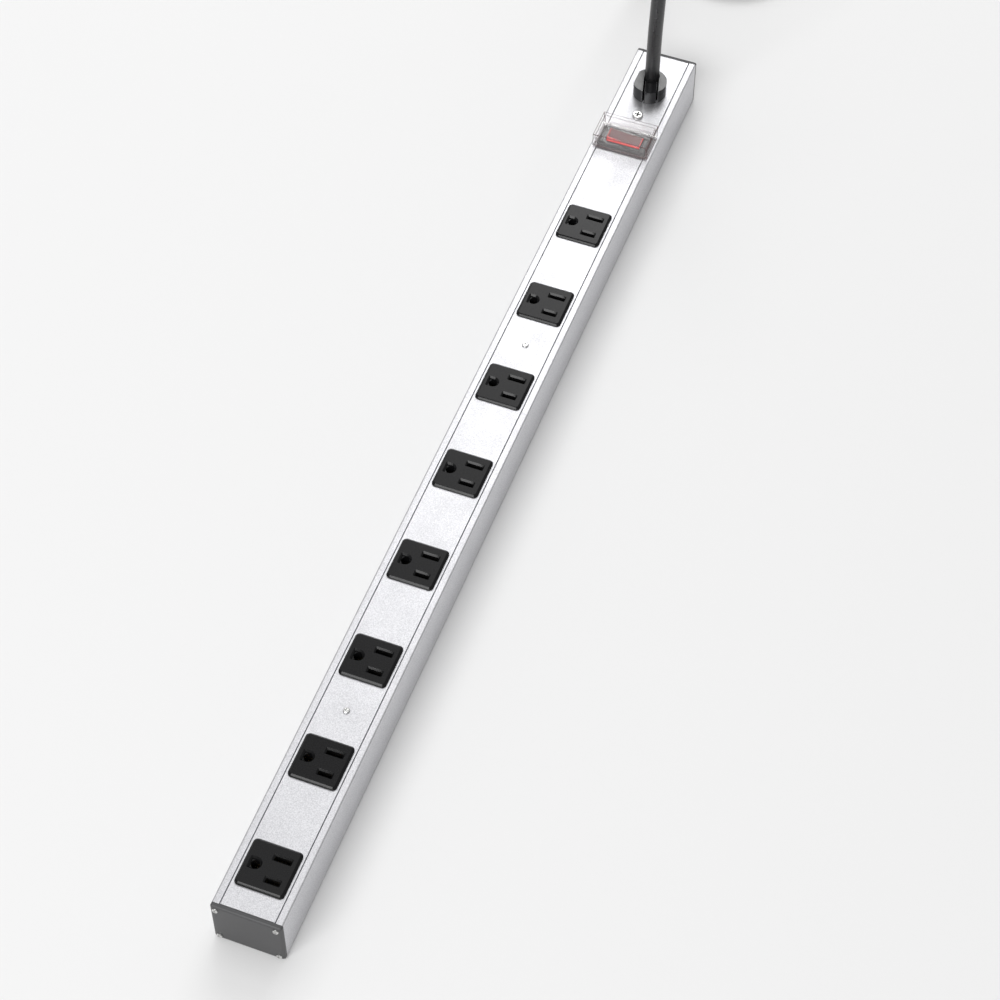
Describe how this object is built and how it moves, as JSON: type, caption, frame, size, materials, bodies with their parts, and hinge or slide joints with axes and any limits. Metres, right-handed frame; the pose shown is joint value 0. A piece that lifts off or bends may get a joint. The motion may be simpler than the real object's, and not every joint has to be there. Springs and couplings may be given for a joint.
{
  "type": "rack power strip",
  "caption": "Long slim rack power strip: aluminium channel with a row of grounded outlets, lighted rocker switch under a clear flip guard, and a mains cord through a strain relief.",
  "frame": {"origin": "centre of the strip's back face, on the surface that it lies on", "axes": "+X across the strip, +Y along it towards the cord end, +Z out of its front face"},
  "size_m": [0.0984, 0.9518, 0.1693],
  "materials": {
    "satin_aluminium": "bead-blasted and clear anodised, satin",
    "cap_plastic": "moulded, fine texture",
    "zinc_steel": "bright zinc plated",
    "liner_film": "plain insulating film",
    "outlet_plastic": "moulded, half gloss",
    "outlet_back_plastic": "moulded, matt",
    "brass": "stamped, bright",
    "switch_plastic": "moulded, gloss",
    "red_lens": "translucent red, polished",
    "lamp_glass": "clear bulb",
    "clear_plastic": "clear, polished",
    "relief_plastic": "moulded, gloss",
    "black_insulation": "extruded",
    "white_insulation": "extruded",
    "green_insulation": "extruded",
    "cord_jacket": "extruded, half gloss",
    "strap_fabric": "woven hook-and-loop strap"
  },
  "bodies": {
    "strip": {"housing_channel": "satin_aluminium", "front_panel": "satin_aluminium", "end_cap_near": "cap_plastic", "end_cap_far": "cap_plastic", "cap_screws_near": "zinc_steel", "cap_screws_far": "zinc_steel", "channel_liner": "liner_film", "outlet_1_front": "outlet_plastic", "outlet_2_front": "outlet_plastic", "outlet_3_front": "outlet_plastic", "outlet_4_front": "outlet_plastic", "outlet_5_front": "outlet_plastic", "outlet_6_front": "outlet_plastic", "outlet_7_front": "outlet_plastic", "outlet_8_front": "outlet_plastic", "outlet_1_back": "outlet_back_plastic", "outlet_2_back": "outlet_back_plastic", "outlet_3_back": "outlet_back_plastic", "outlet_4_back": "outlet_back_plastic", "outlet_5_back": "outlet_back_plastic", "outlet_6_back": "outlet_back_plastic", "outlet_7_back": "outlet_back_plastic", "outlet_8_back": "outlet_back_plastic", "outlet_1_contacts": "brass", "outlet_2_contacts": "brass", "outlet_3_contacts": "brass", "outlet_4_contacts": "brass", "outlet_5_contacts": "brass", "outlet_6_contacts": "brass", "outlet_7_contacts": "brass", "outlet_8_contacts": "brass", "line_bus": "brass", "neutral_bus": "brass", "ground_bus": "brass", "panel_screws": "zinc_steel", "panel_clamp_bars": "zinc_steel", "switch_body": "switch_plastic", "switch_terminals": "brass", "switch_lamp": "lamp_glass", "guard_frame": "clear_plastic", "guard_hinge_pin": "zinc_steel", "strain_relief_body": "relief_plastic", "strain_relief_wedge": "relief_plastic", "ground_screw": "zinc_steel", "ground_nut": "zinc_steel", "ground_ring_terminals": "brass", "line_supply_wire": "black_insulation", "switched_line_wire": "black_insulation", "neutral_wire": "white_insulation", "ground_wires": "green_insulation", "cord_lead": "cord_jacket", "cord_hank": "cord_jacket", "cord_tail": "cord_jacket", "cord_straps": "strap_fabric", "plug_body": "cord_jacket", "plug_prongs": "brass"},
    "rocker": {"switch_rocker": "red_lens"},
    "contact_lever": {"switch_lever": "brass"},
    "guard": {"guard_lid": "clear_plastic"}
  },
  "joints": [
    {"name": "rocker_rock", "type": "hinge", "parent": "strip", "child": "rocker", "pos_m": [0, 0.2378, 0.03215], "axis": [0, 1, 0], "range_deg": [-7, 0]},
    {"name": "lever_seesaw", "type": "hinge", "parent": "strip", "child": "contact_lever", "pos_m": [0, 0.2378, 0.0205], "axis": [0, 1, 0], "range_deg": [0, 12]},
    {"name": "guard_flip", "type": "hinge", "parent": "strip", "child": "guard", "pos_m": [0, 0.24785, 0.03325], "axis": [-1, 0, 0], "range_deg": [0, 90]}
  ],
  "couplings": [
    {"joint": "lever_seesaw", "follows": "rocker_rock", "ratio": -1.7}
  ]
}
